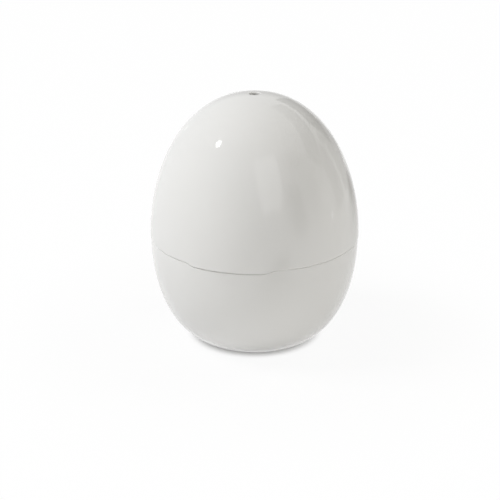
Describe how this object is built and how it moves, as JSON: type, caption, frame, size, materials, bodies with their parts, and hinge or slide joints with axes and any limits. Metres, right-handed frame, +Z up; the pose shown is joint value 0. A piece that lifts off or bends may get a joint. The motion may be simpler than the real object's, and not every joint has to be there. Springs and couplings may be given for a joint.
{
  "type": "microwave egg cooker",
  "caption": "Egg-shaped microwave cooker: white dome lid with a steam vent lifts off a water bowl, and a pressed tray holds the eggs upright under a metal lid liner.",
  "frame": {"origin": "centre of the foot ring, on the surface that the cooker stands on", "axes": "+Z up through the steam vent, -Y towards the viewer of the picture, +X to the right"},
  "size_m": [0.133, 0.133, 0.159],
  "materials": {
    "gloss_white": "gloss",
    "pressed_aluminium": "satin",
    "inner_white": "matte"
  },
  "bodies": {
    "base": {"base_shell": "gloss_white", "egg_tray": "pressed_aluminium"},
    "lid": {"lid_shell": "gloss_white", "lid_liner": "pressed_aluminium", "liner_ring": "inner_white"}
  },
  "joints": [
    {"name": "lid_lift", "type": "slide", "parent": "base", "child": "lid", "axis": [0, 0, 1], "range_m": [0, 0.12]}
  ]
}
